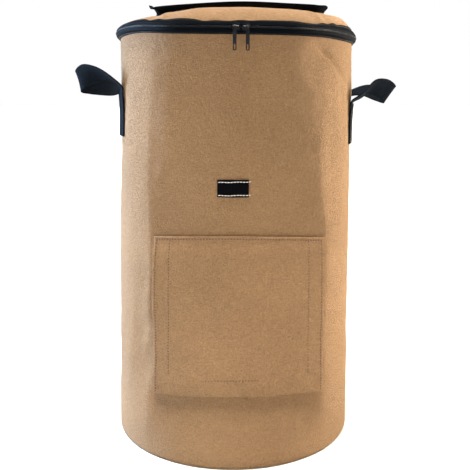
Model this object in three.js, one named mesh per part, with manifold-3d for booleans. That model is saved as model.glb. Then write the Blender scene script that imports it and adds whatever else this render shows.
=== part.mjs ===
// A tall round garden compost bag of thick felt: a wall and base, a domed lid joined to the wall
// by a zip with two sliders, a front flap over two fastening strips, a label patch, two side
// handles and a lid handle of webbing. Millimetres, +Z up, the front faces -Y, and the origin is
// the centre of the underside. Angles run from the front towards +X.
import * as THREE from "three";
import { mergeVertices } from "three/addons/utils/BufferGeometryUtils.js";
import Module from "manifold-3d";

const wasm = await Module();
wasm.setup();

const { degToRad, lerp, smoothstep, clamp } = THREE.MathUtils;

// The felt body
const BASE_RADIUS = 180;
const RIM_TAPER = 7.5;
const RIM_RADIUS = BASE_RADIUS - RIM_TAPER;
const RIM_HEIGHT = 597.5;
const FELT = 3;
const SIDE_LEAN = 5;
const HEM_CORNER = 4;
const CLEARANCE = 0.5;
const ROUND_STEPS = 64;

// The front panel lies flatter than the round wall, between two upright creases.
const CREASE_ANGLE = degToRad(44);
const FRONT_FLATNESS = [
  { share: 0.0, flat: 0.03 },
  { share: 0.06, flat: 0.12 },
  { share: 0.17, flat: 0.28 },
  { share: 0.4, flat: 0.33 },
  { share: 0.7, flat: 0.24 },
  { share: 0.9, flat: 0.1 },
  { share: 1.0, flat: 0.0 },
];

// Soft hollows (+) and bulges (-) of the wall. Depth is a share of the base radius.
const WALL_DENTS = [
  { angle: -49, spread: 6, height: 0.26, tall: 0.11, depth: 0.022 },
  { angle: -77, spread: 14, height: 0.8, tall: 0.16, depth: 0.012 },
  { angle: 41, spread: 9, height: 0.95, tall: 0.07, depth: 0.03 },
  { angle: 128, spread: 22, height: 0.45, tall: 0.22, depth: 0.018 },
  { angle: -140, spread: 18, height: 0.6, tall: 0.2, depth: 0.016 },
  { angle: 176, spread: 20, height: 0.3, tall: 0.2, depth: -0.01 },
];

// How far the zipped rim rises and dips round the bag, as shares of the rim's radius
const RIM_WAVE = [
  { angle: -180, lift: 0.0 },
  { angle: -130, lift: 0.012 },
  { angle: -90, lift: 0.016 },
  { angle: -52, lift: 0.037 },
  { angle: -28, lift: 0.012 },
  { angle: -10, lift: 0.0 },
  { angle: 14, lift: -0.005 },
  { angle: 38, lift: -0.004 },
  { angle: 62, lift: -0.017 },
  { angle: 90, lift: -0.024 },
  { angle: 135, lift: -0.012 },
  { angle: 180, lift: 0.0 },
];
const RIM_WAVE_STARTS = 0.72;

// The zip: two tapes that lean out to the coil between them
const TAPE = 1.2;
const LOWER_TAPE_HEIGHT = 9;
const UPPER_TAPE_HEIGHT = 10;
const TAPE_OUT = 6;
const COIL_RADIUS = 1.7;
const COIL_SIDES = 6;
const WALL_TOP_BELOW_COIL = 4;

// The upper tape's sewn edge rises and dips a little too, as shares of the tape's height
const TAPE_WAVE = [
  { angle: -180, lift: 0.0 },
  { angle: -70, lift: 0.0 },
  { angle: -48, lift: 0.22 },
  { angle: -34, lift: -0.05 },
  { angle: -25, lift: 0.12 },
  { angle: -8, lift: -0.18 },
  { angle: 4, lift: 0.05 },
  { angle: 24, lift: 0.0 },
  { angle: 35, lift: -0.22 },
  { angle: 50, lift: 0.05 },
  { angle: 84, lift: 0.18 },
  { angle: 180, lift: 0.0 },
];

// The lid
const LID_RISE = 27;
const LID_SKIRT = 5;
const LID_INSET = 2.6;
const LID_FULLNESS = 5;
const LID_DENTS = [
  { angle: -58, spread: 26, reach: 0.76, wide: 0.2, depth: 0.42 },
  { angle: 74, spread: 30, reach: 0.92, wide: 0.1, depth: -0.2 },
  { angle: 8, spread: 16, reach: 0.97, wide: 0.05, depth: 0.08 },
  { angle: 150, spread: 35, reach: 0.7, wide: 0.25, depth: 0.12 },
];

// The front flap, its two fastening strips and the label patch
const FLAP_WIDTH = 262;
const FLAP_HEIGHT = 223.5;
const FLAP_BOTTOM = 94;
const FLAP_ANGLE = degToRad(2.5);
const FLAP_BOW = 7.5;
const FLAP_TILT = 3.2;
const STRIP_WIDTH = 25;
const STRIP_THICKNESS = 2;
const STRIP_INSET = 3;
const STRIP_END_INSET = 26;
const LABEL = { width: 46, height: 23.5, thickness: 1.2, centre: RIM_HEIGHT - 208.5, angle: degToRad(-0.9) };

// Webbing handles
const WEBBING_WIDTH = 32;
const WEBBING = 1.8;
const SIDE_LEG_SPACING = 100;
const LEFT_HANDLE = { side: -1, middle: degToRad(-88), foot: RIM_HEIGHT - 145.5, top: RIM_HEIGHT - 78.5 };
const RIGHT_HANDLE = { side: 1, middle: degToRad(92), foot: RIM_HEIGHT - 157.5, top: RIM_HEIGHT - 94.5 };
const LID_LEG_SPACING = 222;
const LID_HANDLE_SHIFT = 5;
const STEPS_PER_STATION = 3;

// Zip sliders and pulls
const SLIDER = { length: 10.8, height: 9.6, plate: 1.6, flange: 1.3, corner: 3.2 };
const SLIDER_SPACING = 12.2;
const SLIDER_ANGLE = degToRad(1.9);
const BRIDGE = { rise: 2.8, post: 1.4, half: 4.2, bar: 0.85 };
const PULL = { length: 30, width: 4.8, neck: 2.4, thickness: 1.4, knuckle: 2.1, play: 0.35 };
const PULL_SLOT = { width: 1.7, length: 6.5, edge: 1.5 };
const PULL_OFFSET = 1.9;

const FELT_MATERIAL = { color: 0xb08a61, roughness: 0.95, metalness: 0 };
const TAPE_MATERIAL = { color: 0x17191d, roughness: 0.75, metalness: 0 };
const COIL_MATERIAL = { color: 0x24272c, roughness: 0.4, metalness: 0 };
const WEBBING_MATERIAL = { color: 0x14161a, roughness: 0.7, metalness: 0 };
const STRIP_MATERIAL = { color: 0x1a1a1a, roughness: 0.9, metalness: 0 };
const METAL_MATERIAL = { color: 0x2b2e33, roughness: 0.35, metalness: 0.8 };

// Smooth value of one column of a table at a place between its rows
function tableValue(rows, key, column, at) {
  const last = rows.length - 1;
  if (at <= rows[0][key]) return rows[0][column];
  if (at >= rows[last][key]) return rows[last][column];
  const i = rows.findIndex((row) => row[key] > at) - 1;
  const part = smoothstep(at, rows[i][key], rows[i + 1][key]);
  return lerp(rows[i][column], rows[i + 1][column], part);
}

// A bell-shaped weight: 1 at the middle, near 0 at twice the spread
function bell(distance, spread) {
  return Math.exp(-((distance / spread) ** 2));
}

// The difference of two angles in degrees, from -180 to 180
function turnBetween(a, b) {
  return ((a - b + 540) % 360) - 180;
}

function taperRadius(height) {
  return lerp(BASE_RADIUS, RIM_RADIUS, clamp(height / RIM_HEIGHT, 0, 1));
}

// How far the felt lies inside the plain round taper
function wallInset(angle, height) {
  const share = height / RIM_HEIGHT;
  if (share >= 1) return 0;
  const flat = tableValue(FRONT_FLATNESS, "share", "flat", share);
  const panel = Math.abs(angle) < CREASE_ANGLE ? 1 - Math.cos(CREASE_ANGLE) / Math.cos(angle) : 0;
  const ends = smoothstep(share, 0, 0.12) * smoothstep(1 - share, 0, 0.06);
  const degrees = THREE.MathUtils.radToDeg(angle);
  const dents = WALL_DENTS.reduce(
    (sum, dent) =>
      sum +
      dent.depth * bell(turnBetween(degrees, dent.angle), dent.spread) * bell(share - dent.height, dent.tall),
    0,
  );
  return taperRadius(height) * panel * flat + BASE_RADIUS * dents * ends;
}

function wallRadius(angle, height) {
  return taperRadius(height) - wallInset(angle, height);
}

function rimLift(angle) {
  return RIM_RADIUS * tableValue(RIM_WAVE, "angle", "lift", THREE.MathUtils.radToDeg(angle));
}

// Where the lid's dents leave its surface, as a drop below the plain dome
function lidSag(angle, radius) {
  const degrees = THREE.MathUtils.radToDeg(angle);
  const reach = radius / RIM_RADIUS;
  return LID_DENTS.reduce(
    (sum, dent) =>
      sum +
      LID_RISE *
        dent.depth *
        bell(turnBetween(degrees, dent.angle), dent.spread) *
        bell(reach - dent.reach, dent.wide),
    0,
  );
}

// Takes a point of the plain round bag to where it lies on the soft one
function settled(angle, radius, height) {
  const reach = Math.min(1, radius / RIM_RADIUS);
  const waving = smoothstep(height / RIM_HEIGHT, RIM_WAVE_STARTS, 0.98) * reach ** 2;
  const inset = wallInset(angle, height) * reach;
  const onLid = smoothstep(height - RIM_HEIGHT, LID_SKIRT, LID_SKIRT + LID_RISE / 3);
  const newRadius = radius - inset;
  return new THREE.Vector3(
    newRadius * Math.sin(angle) + (SIDE_LEAN * height) / RIM_HEIGHT,
    -newRadius * Math.cos(angle),
    height + rimLift(angle) * waving - lidSag(angle, radius) * onLid,
  );
}

function onWall(angle, height, standoff) {
  return settled(angle, taperRadius(height) + standoff, height);
}

// Height of the plain dome over the skirt, at a share of the lid's radius
function domeRise(share) {
  return LID_RISE * Math.sqrt(Math.max(0, 1 - share ** LID_FULLNESS));
}

const LID_RADIUS = RIM_RADIUS - LID_INSET;
const LID_EDGE = RIM_HEIGHT + LID_SKIRT + 1;

function onLid(x, y, standoff) {
  const radius = Math.hypot(x, y);
  return settled(Math.atan2(x, -y), radius, LID_EDGE + domeRise(radius / LID_RADIUS) + standoff);
}

// Turns a closed outline of [radius, height] pairs round the bag's axis and settles it. lift: an
// extra rise by angle and height.
function turned(outline, lift = () => 0) {
  const profile = outline.map(([radius, height]) => new THREE.Vector2(radius, height));
  const geometry = new THREE.LatheGeometry(profile, ROUND_STEPS).rotateX(Math.PI / 2);
  return moved(geometry, (p) => {
    const angle = Math.atan2(p.x, -p.y);
    return settled(angle, Math.hypot(p.x, p.y), p.z + lift(angle, p.z));
  });
}

// Moves every vertex by a rule
function moved(geometry, rule) {
  const position = geometry.getAttribute("position");
  const point = new THREE.Vector3();
  for (let i = 0; i < position.count; i++) {
    point.fromBufferAttribute(position, i);
    position.setXYZ(i, ...rule(point).toArray());
  }
  return geometry;
}

function solidOf(geometry) {
  const bare = geometry.clone();
  bare.deleteAttribute("normal");
  bare.deleteAttribute("uv");
  const merged = mergeVertices(bare, 1e-4);
  return new wasm.Manifold(
    new wasm.Mesh({
      numProp: 3,
      vertProperties: new Float32Array(merged.getAttribute("position").array),
      triVerts: new Uint32Array(merged.index.array),
    }),
  );
}

function joined(...geometries) {
  const solid = geometries.map(solidOf).reduce((sum, next) => sum.add(next));
  const mesh = solid.getMesh();
  return new THREE.BufferGeometry()
    .setAttribute("position", new THREE.BufferAttribute(new Float32Array(mesh.vertProperties), 3))
    .setIndex(new THREE.BufferAttribute(new Uint32Array(mesh.triVerts), 1));
}

function named(name, geometry, look) {
  const mesh = new THREE.Mesh(geometry, new THREE.MeshStandardMaterial(look));
  mesh.name = name;
  return mesh;
}

// The wall: a felt tube open at both ends, rounded under at its foot
function wall() {
  const top = RIM_HEIGHT - WALL_TOP_BELOW_COIL;
  const shares = [0.04, 0.1, 0.18, 0.28, 0.4, 0.53, 0.66, 0.78, 0.88, 0.95];
  const outside = shares.map((share) => [taperRadius(share * top), share * top]);
  const inside = shares
    .filter((_, i) => i % 2 === 1)
    .map((share) => [taperRadius(share * top) - FELT, share * top])
    .reverse();
  const outline = [
    [BASE_RADIUS - FELT, 0],
    [BASE_RADIUS - HEM_CORNER / 3, 0],
    [BASE_RADIUS, HEM_CORNER],
    ...outside,
    [taperRadius(top), top],
    [taperRadius(top) - FELT, top],
    ...inside,
    [BASE_RADIUS - FELT, 0],
  ];
  return turned(outline);
}

// The base: a round of felt inside the foot of the wall
function base() {
  const radius = BASE_RADIUS - FELT - 2 * CLEARANCE;
  return turned([
    [0, 0],
    [radius, 0],
    [radius, FELT],
    [0, FELT],
  ]);
}

// The lid: a dome of felt with a short upright skirt
function lid() {
  const shares = [0.97, 0.92, 0.84, 0.74, 0.6, 0.42, 0.2];
  const skirtFoot = LID_EDGE - LID_SKIRT;
  const outside = shares.map((share) => [LID_RADIUS * share, LID_EDGE + domeRise(share)]);
  const inside = shares
    .filter((_, i) => i !== 0 && i !== 5)
    .map((share) => [(LID_RADIUS - FELT) * share, LID_EDGE + domeRise(share) - FELT])
    .reverse();
  return turned([
    [0, LID_EDGE + LID_RISE - FELT],
    ...inside,
    [LID_RADIUS - FELT, skirtFoot + FELT],
    [LID_RADIUS - FELT, skirtFoot],
    [LID_RADIUS, skirtFoot],
    [LID_RADIUS, LID_EDGE],
    ...outside,
    [0, LID_EDGE + LID_RISE],
  ]);
}

const COIL_RING_RADIUS = RIM_RADIUS + TAPE_OUT - COIL_RADIUS / 2;

// A zip tape: it lies flat on the felt at its sewn edge and leans out to the coil
function tape(direction, feltRadius, height) {
  const coilEdge = RIM_HEIGHT + direction * (COIL_RADIUS + CLEARANCE);
  const sewnEdge = RIM_HEIGHT + direction * height;
  const bend = lerp(coilEdge, sewnEdge, 0.55);
  const sewn = feltRadius + CLEARANCE;
  const bent = lerp(sewn, RIM_RADIUS + TAPE_OUT - TAPE, 0.5);
  const out = RIM_RADIUS + TAPE_OUT - TAPE;
  const outline = [
    [sewn, sewnEdge],
    [bent, bend],
    [out, coilEdge],
    [out + TAPE, coilEdge],
    [bent + TAPE, bend + (direction * TAPE) / 3],
    [sewn + TAPE, sewnEdge],
    [sewn, sewnEdge],
  ];
  if (direction < 0) return turned(outline.reverse());
  return turned(outline, (angle, z) => {
    const wave = tableValue(TAPE_WAVE, "angle", "lift", THREE.MathUtils.radToDeg(angle));
    return height * wave * smoothstep(z, coilEdge, sewnEdge);
  });
}

function coil() {
  const outline = Array.from({ length: COIL_SIDES + 1 }, (_, i) => {
    const turn = (2 * Math.PI * i) / COIL_SIDES;
    return [COIL_RING_RADIUS + COIL_RADIUS * Math.cos(turn), RIM_HEIGHT + COIL_RADIUS * Math.sin(turn)];
  });
  return turned(outline);
}

// Bends a flat panel round the wall: x goes round, y goes up, z stands off the felt
function wrapped(geometry, angle, standoff) {
  return moved(geometry, (p) => {
    const turn = angle + p.x / BASE_RADIUS;
    return onWall(turn, p.y, standoff(p.x, p.y) + p.z);
  });
}

function panel(width, bottom, height, thickness, columns, rows) {
  return new THREE.BoxGeometry(width, height, thickness, columns, rows, 1).translate(
    0,
    bottom + height / 2,
    thickness / 2,
  );
}

// The flap is sewn along its top and rides over the strips; its free foot stands off and bows up.
function flap() {
  const sewnTo = FLAP_BOTTOM + FLAP_HEIGHT;
  const lifted = STRIP_THICKNESS + 2 * CLEARANCE;
  const shape = panel(FLAP_WIDTH, FLAP_BOTTOM, FLAP_HEIGHT, FELT, 20, 12);
  const bowed = moved(shape, (p) => {
    const middle = Math.cos((Math.PI * p.x) / FLAP_WIDTH);
    const low = 1 - (p.y - FLAP_BOTTOM) / FLAP_HEIGHT;
    const tilt = (FLAP_TILT * p.x * (1 - low)) / FLAP_WIDTH;
    return new THREE.Vector3(p.x, p.y + FLAP_BOW * middle - tilt, p.z);
  });
  return wrapped(bowed, FLAP_ANGLE, (x, y) => {
    const below = (sewnTo - y) / FLAP_HEIGHT;
    const foot = STRIP_THICKNESS * smoothstep(below, 0.75, 1);
    return CLEARANCE + (lifted - CLEARANCE) * smoothstep(below, 0, 0.09) + foot;
  });
}

function strip(side) {
  const height = FLAP_HEIGHT - 2 * STRIP_END_INSET;
  const middle = side * (FLAP_WIDTH / 2 - STRIP_INSET - STRIP_WIDTH / 2);
  const shape = panel(STRIP_WIDTH, FLAP_BOTTOM + STRIP_END_INSET, height, STRIP_THICKNESS, 3, 8);
  return wrapped(shape, FLAP_ANGLE + middle / BASE_RADIUS, () => CLEARANCE);
}

function label() {
  const shape = panel(LABEL.width, LABEL.centre - LABEL.height / 2, LABEL.height, LABEL.thickness, 4, 1);
  return wrapped(shape, LABEL.angle, () => CLEARANCE);
}

// A webbing strap through stations { at, across }: a point of its middle and its width's direction
function strap(stations) {
  const route = new THREE.CatmullRomCurve3(stations.map((s) => s.at));
  const last = stations.length - 1;
  const shape = new THREE.BoxGeometry(WEBBING_WIDTH, 1, WEBBING, 2, STEPS_PER_STATION * last, 1);
  return moved(shape, (p) => {
    const along = clamp(p.y + 0.5, 0, 1);
    const i = Math.min(Math.floor(along * last), last - 1);
    const across = stations[i].across
      .clone()
      .lerp(stations[i + 1].across, smoothstep(along * last - i, 0, 1));
    const ahead = route.getTangent(along);
    across.addScaledVector(ahead, -across.dot(ahead)).normalize();
    const face = across.clone().cross(ahead);
    return route.getPoint(along).addScaledVector(across, p.x).addScaledVector(face, p.z);
  });
}

// A side handle's free loop. across: towards the back, as a share of half the leg spacing.
// up: above the sewn legs' top. out: beyond the wall. turn: 0 lies flat on the wall, 90 stands upright.
// lean: how far its top edge leans outwards. Lengths are shares of the webbing's width.
const LEFT_LOOP = [
  { across: -0.92, up: 0.46, out: 0.28, turn: 12, lean: 0 },
  { across: -0.66, up: 0.71, out: 0.92, turn: 32, lean: 4 },
  { across: -0.36, up: 0.65, out: 1.6, turn: 72, lean: 10 },
  { across: 0.0, up: 0.34, out: 2.0, turn: 90, lean: 13 },
  { across: 0.38, up: 0.25, out: 1.66, turn: 95, lean: 10 },
  { across: 0.7, up: 0.15, out: 0.96, turn: 112, lean: 4 },
  { across: 0.92, up: 0.04, out: 0.46, turn: 149, lean: 0 },
];
const RIGHT_LOOP = [
  { across: -0.92, up: 0.34, out: 0.3, turn: 18, lean: 0 },
  { across: -0.68, up: 0.71, out: 0.86, turn: 40, lean: 12 },
  { across: -0.35, up: 0.62, out: 1.5, turn: 70, lean: 26 },
  { across: 0.0, up: 0.35, out: 1.92, turn: 90, lean: 35 },
  { across: 0.36, up: 0.45, out: 1.54, turn: 118, lean: 30 },
  { across: 0.68, up: 0.57, out: 0.9, turn: 152, lean: 14 },
  { across: 0.92, up: 0.42, out: 0.34, turn: 170, lean: 0 },
];

function loopAcross({ turn, lean }, across, up, out) {
  const standing = up.clone().multiplyScalar(Math.cos(degToRad(lean)));
  standing.addScaledVector(out, Math.sin(degToRad(lean)));
  return across
    .clone()
    .multiplyScalar(Math.cos(degToRad(turn)))
    .addScaledVector(standing, -Math.sin(degToRad(turn)));
}

// The two sewn legs run from the handle's foot to its top. side: -1 left, 1 right.
function sideHandle({ side, middle, foot, top }, loop) {
  const across = new THREE.Vector3(Math.cos(middle), Math.sin(middle), 0).multiplyScalar(side);
  const up = new THREE.Vector3(0, 0, 1);
  const out = new THREE.Vector3(Math.sin(middle), -Math.cos(middle), 0);
  const half = SIDE_LEG_SPACING / 2;
  const leg = (front, share) => {
    const angle = middle - (side * front * half) / taperRadius(top);
    const height = lerp(foot, top, share);
    const along = new THREE.Vector3(Math.cos(angle), Math.sin(angle), 0).multiplyScalar(side * front);
    const standoff = CLEARANCE + WEBBING / 2 + 4 * CLEARANCE * smoothstep(share, 0.6, 1);
    return { at: onWall(angle, height, standoff), across: along };
  };
  const sideWall = onWall(middle, top, 0);
  const free = loop.map((row) => ({
    at: sideWall
      .clone()
      .addScaledVector(across, row.across * half)
      .addScaledVector(up, row.up * WEBBING_WIDTH)
      .addScaledVector(out, row.out * WEBBING_WIDTH),
    across: loopAcross(row, across, up, out),
  }));
  const shares = [0, 0.5, 0.88, 1];
  return strap([
    ...shares.map((share) => leg(1, share)),
    ...free,
    ...shares.map((share) => leg(-1, share)).reverse(),
  ]);
}

// The lid handle's free loop: across as a share of half the leg spacing, ahead and out as shares of
// the webbing's width, with out above the lid.
const LID_LOOP = [
  { across: -1.02, ahead: 0.2, out: 0.16, turn: 4, lean: 30 },
  { across: -1.11, ahead: 0.45, out: 0.36, turn: 24, lean: 66 },
  { across: -1.0, ahead: 0.77, out: 0.33, turn: 56, lean: 22 },
  { across: -0.7, ahead: 0.9, out: 0.38, turn: 82, lean: 9 },
  { across: 0.0, ahead: 0.9, out: 0.42, turn: 90, lean: 9 },
  { across: 0.6, ahead: 0.9, out: 0.4, turn: 96, lean: 8 },
  { across: 0.88, ahead: 0.78, out: 0.33, turn: 118, lean: 16 },
  { across: 1.02, ahead: 0.48, out: 0.31, turn: 148, lean: 60 },
  { across: 0.99, ahead: 0.2, out: 0.17, turn: 176, lean: 24 },
];
const LID_LEG = { from: 58, to: 8 };

function lidHandle() {
  const across = new THREE.Vector3(1, 0, 0);
  const ahead = new THREE.Vector3(0, -1, 0);
  const out = new THREE.Vector3(0, 0, 1);
  const half = LID_LEG_SPACING / 2;
  const rest = 2 * CLEARANCE + WEBBING / 2;
  const sewn = (side, share) => {
    const y = lerp(LID_LEG.from, LID_LEG.to, share);
    const x = LID_HANDLE_SHIFT + side * half;
    const slope = onLid(x + 1, y, rest).sub(onLid(x - 1, y, rest));
    const standoff = rest + 3 * CLEARANCE * smoothstep(share, 0.5, 1);
    return { at: onLid(x, y, standoff), across: slope.normalize().multiplyScalar(-side) };
  };
  const free = LID_LOOP.map((row) => {
    const x = LID_HANDLE_SHIFT + row.across * half;
    const y = LID_LEG.to - row.ahead * WEBBING_WIDTH;
    return { at: onLid(x, y, row.out * WEBBING_WIDTH), across: loopAcross(row, across, ahead, out) };
  });
  const shares = [0, 0.35, 0.7, 1];
  return strap([
    ...shares.map((share) => sewn(-1, share)),
    ...free,
    ...shares.map((share) => sewn(1, share)).reverse(),
  ]);
}

function roundedOutline(width, height, corner) {
  const [w, h] = [width / 2, height / 2];
  return new THREE.Shape()
    .moveTo(-w + corner, -h)
    .lineTo(w - corner, -h)
    .absarc(w - corner, -h + corner, corner, -Math.PI / 2, 0)
    .lineTo(w, h - corner)
    .absarc(w - corner, h - corner, corner, 0, Math.PI / 2)
    .lineTo(-w + corner, h)
    .absarc(-w + corner, h - corner, corner, Math.PI / 2, Math.PI)
    .lineTo(-w, -h + corner)
    .absarc(-w + corner, -h + corner, corner, Math.PI, 1.5 * Math.PI);
}

function box(width, depth, height, x, y, z) {
  return new THREE.BoxGeometry(width, depth, height).translate(x, y, z);
}

// A slider in its own frame: x along the zip, -y outwards, z up, with the coil's centre at the origin
const PLATE_FACE = COIL_RADIUS + CLEARANCE + SLIDER.plate;
const BAR_OUT = PLATE_FACE + BRIDGE.rise;

function slider() {
  const plate = new THREE.ExtrudeGeometry(roundedOutline(SLIDER.length, SLIDER.height, SLIDER.corner), {
    depth: SLIDER.plate,
    bevelEnabled: false,
    curveSegments: 4,
  })
    .rotateX(Math.PI / 2)
    .translate(0, -(COIL_RADIUS + CLEARANCE), 0);
  const flangeDepth = COIL_RADIUS + SLIDER.plate / 2;
  const flangeLength = SLIDER.length - 2 * SLIDER.corner;
  const flangeAt = (SLIDER.height - SLIDER.flange) / 2 - 0.02;
  const flange = (side) =>
    box(flangeLength, flangeDepth, SLIDER.flange, 0, -CLEARANCE - flangeDepth / 2, side * flangeAt);
  const postDepth = BRIDGE.rise + BRIDGE.bar + 0.4;
  const post = (side) =>
    box(BRIDGE.post, postDepth, BRIDGE.post + 0.6, side * BRIDGE.half, -PLATE_FACE + 0.3 - postDepth / 2, 0);
  const bar = new THREE.CylinderGeometry(BRIDGE.bar, BRIDGE.bar, 2 * BRIDGE.half, 10)
    .rotateZ(Math.PI / 2)
    .translate(0, -BAR_OUT, 0);
  return joined(plate, flange(1), flange(-1), post(1), post(-1), bar);
}

// A pull in its own frame: hung from the origin, the bar's centre, downwards. side: -1 left, 1 right.
function pull(side) {
  const ring = new THREE.Shape().absarc(0, 0, PULL.knuckle, 0, 2 * Math.PI);
  ring.holes.push(new THREE.Path().absarc(0, 0, BRIDGE.bar + PULL.play, 0, 2 * Math.PI, true));
  const knuckle = new THREE.ExtrudeGeometry(ring, {
    depth: PULL.neck,
    bevelEnabled: false,
    curveSegments: 8,
  })
    .rotateY(Math.PI / 2)
    .translate(side * PULL_OFFSET - PULL.neck / 2, 0, 0);
  const [w, n] = [PULL.width / 2, PULL.neck / 2];
  const neckFoot = -PULL.knuckle - 2;
  const outline = new THREE.Shape()
    .moveTo(-n, -(PULL.knuckle + BRIDGE.bar + PULL.play) / 2)
    .lineTo(-n, neckFoot)
    .lineTo(-w, neckFoot - 2)
    .lineTo(-w, w - PULL.length)
    .absarc(0, w - PULL.length, w, Math.PI, 2 * Math.PI)
    .lineTo(w, neckFoot - 2)
    .lineTo(n, neckFoot)
    .lineTo(n, -(PULL.knuckle + BRIDGE.bar + PULL.play) / 2);
  const slotRadius = PULL_SLOT.width / 2;
  const slotFoot = -PULL.length + PULL_SLOT.edge + slotRadius;
  const slotHead = slotFoot + PULL_SLOT.length - PULL_SLOT.width;
  outline.holes.push(
    new THREE.Path()
      .absarc(0, slotHead, slotRadius, 0, Math.PI)
      .absarc(0, slotFoot, slotRadius, Math.PI, 2 * Math.PI),
  );
  const tab = new THREE.ExtrudeGeometry(outline, {
    depth: PULL.thickness,
    bevelEnabled: false,
    curveSegments: 6,
  })
    .rotateX(Math.PI / 2)
    .translate(side * PULL_OFFSET, PULL.thickness / 2, 0);
  return joined(knuckle, tab);
}

// A slider and its pull, set on the coil at the front. side: -1 left, 1 right.
function sliderWithPull(side, word) {
  const angle = SLIDER_ANGLE + (side * SLIDER_SPACING) / 2 / COIL_RING_RADIUS;
  const set = new THREE.Group();
  set.position.copy(settled(angle, COIL_RING_RADIUS, RIM_HEIGHT));
  set.rotation.z = angle;
  const hung = named(`pull_${word}`, pull(side), METAL_MATERIAL);
  hung.position.y = -BAR_OUT;
  set.add(named(`slider_${word}`, slider(), METAL_MATERIAL), hung);
  return set;
}

const bag = new THREE.Group();
bag.add(
  named("wall", wall(), FELT_MATERIAL),
  named("base", base(), FELT_MATERIAL),
  named("lid", lid(), FELT_MATERIAL),
  named("zip_tape_lower", tape(-1, RIM_RADIUS, LOWER_TAPE_HEIGHT), TAPE_MATERIAL),
  named("zip_tape_upper", tape(1, LID_RADIUS, UPPER_TAPE_HEIGHT), TAPE_MATERIAL),
  named("zip_coil", coil(), COIL_MATERIAL),
  named("front_flap", flap(), FELT_MATERIAL),
  named("flap_strip_left", strip(-1), STRIP_MATERIAL),
  named("flap_strip_right", strip(1), STRIP_MATERIAL),
  named("label", label(), WEBBING_MATERIAL),
  named("handle_left", sideHandle(LEFT_HANDLE, LEFT_LOOP), WEBBING_MATERIAL),
  named("handle_right", sideHandle(RIGHT_HANDLE, RIGHT_LOOP), WEBBING_MATERIAL),
  named("lid_handle", lidHandle(), WEBBING_MATERIAL),
  sliderWithPull(-1, "left"),
  sliderWithPull(1, "right"),
);

export default bag;
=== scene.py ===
# Looks of a tall round garden compost bag of thick felt, built over the fixed frame. The shapes
# below are worked out in millimetres, with +Z up and the front facing -Y, and go into Blender in
# metres. Angles run from the front towards +X.
import math

import bmesh
import bpy
import numpy as np
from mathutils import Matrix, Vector


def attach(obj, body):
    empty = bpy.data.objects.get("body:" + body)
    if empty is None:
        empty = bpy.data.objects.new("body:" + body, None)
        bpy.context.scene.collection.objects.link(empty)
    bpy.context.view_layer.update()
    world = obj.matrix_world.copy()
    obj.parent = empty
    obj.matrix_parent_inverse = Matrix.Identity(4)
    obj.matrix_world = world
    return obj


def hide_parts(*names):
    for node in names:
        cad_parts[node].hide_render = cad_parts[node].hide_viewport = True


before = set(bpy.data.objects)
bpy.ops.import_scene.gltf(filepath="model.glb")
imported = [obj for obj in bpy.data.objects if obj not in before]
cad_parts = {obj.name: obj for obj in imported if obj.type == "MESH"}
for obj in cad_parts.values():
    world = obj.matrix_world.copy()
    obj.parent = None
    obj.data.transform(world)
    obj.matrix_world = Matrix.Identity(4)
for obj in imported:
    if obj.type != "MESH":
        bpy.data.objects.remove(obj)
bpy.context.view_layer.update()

MM = 0.001
TURN = 2 * math.pi

# The felt body
BASE_RADIUS = 180
RIM_RADIUS = 172.5
RIM_HEIGHT = 597.5
FELT = 3
SIDE_LEAN = 5
HEM_CORNER = 4
HEM_WIDTH = HEM_CORNER / 2.4
CLEARANCE = 0.5

# The flatter front panel between two upright creases: (share of the height, flatness)
CREASE_ANGLE = math.radians(44)
CREASE_SOFTNESS = 0.01
PANEL_REACH = 1.3
WANDER_FROM, WANDER_TO = 0.2, 0.6
FRONT_FLATNESS = [(0, 0.03), (0.06, 0.12), (0.17, 0.28), (0.4, 0.33), (0.7, 0.24), (0.9, 0.1), (1, 0)]

# How far the left and the right crease wander from their angle, in degrees: (height in mm, wander)
LEFT_WANDER = [
    (0, 0), (90, 0.5), (141, -2.6), (178, -1), (206, 0), (234, 1.4), (257, 2.6), (280, 2.6), (317, 1.1),
    (424, 1), (505, 2.2), (570, 5), (598, 5),
]
RIGHT_WANDER = [
    (0, 0), (100, 2.6), (311, 2), (424, -2), (505, 0), (540, 0.5), (565, -4), (590, -9), (598, -10),
]

# Hollows (+) and bulges (-) of the wall: angle and spread in degrees, height and tall as shares of
# the rim's height, depth as a share of the base's radius
WALL_DENTS = [
    (-49, 6, 0.26, 0.11, 0.022),
    (-77, 14, 0.8, 0.16, 0.012),
    (41, 9, 0.95, 0.07, 0.018),
    (128, 22, 0.45, 0.22, 0.018),
    (-140, 18, 0.6, 0.2, 0.016),
    (176, 20, 0.3, 0.2, -0.01),
]
# Small hollows and bulges beside the two creases and on the sides: angle and spread in degrees,
# height, tall and depth in mm
SMALL_DENTS = [
    (-46, 3.2, 122, 26, 1.6),
    (-46, 2.6, 186, 16, 1.3),
    (-46, 2.6, 250, 15, 1.2),
    (-41, 3.0, 283, 14, -0.7),
    (-41, 3.0, 222, 14, -0.7),
    (48, 3.0, 300, 40, -0.8),
    (50, 3.2, 420, 50, 0.9),
    (70, 6, 380, 60, 1.4),
    (-72, 7, 330, 70, 1.2),
]
# Straight soft creases of the wall: first and second end as (angle, height), width and depth in mm
WALL_CREASES = [
    ((32, 592), (61, 539), 5, 3.0),
    ((58, 541), (61, 470), 9, 0.9),
    ((-38, 590), (-34, 560), 5, 0.4),
    ((100, 300), (150, 340), 12, 1.2),
    ((-165, 420), (-115, 380), 12, 1.1),
    ((160, 120), (178, 210), 12, 0.9),
]

# The rim's rise and fall: (angle, share of the rim's radius)
RIM_WAVE = [
    (-180, 0), (-130, 0.012), (-90, 0.016), (-52, 0.037), (-28, 0.012), (-10, 0), (14, -0.005),
    (38, -0.004), (62, -0.017), (90, -0.024), (135, -0.012), (180, 0),
]
RIM_WAVE_STARTS, RIM_WAVE_FULL = 0.72, 0.98

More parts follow.
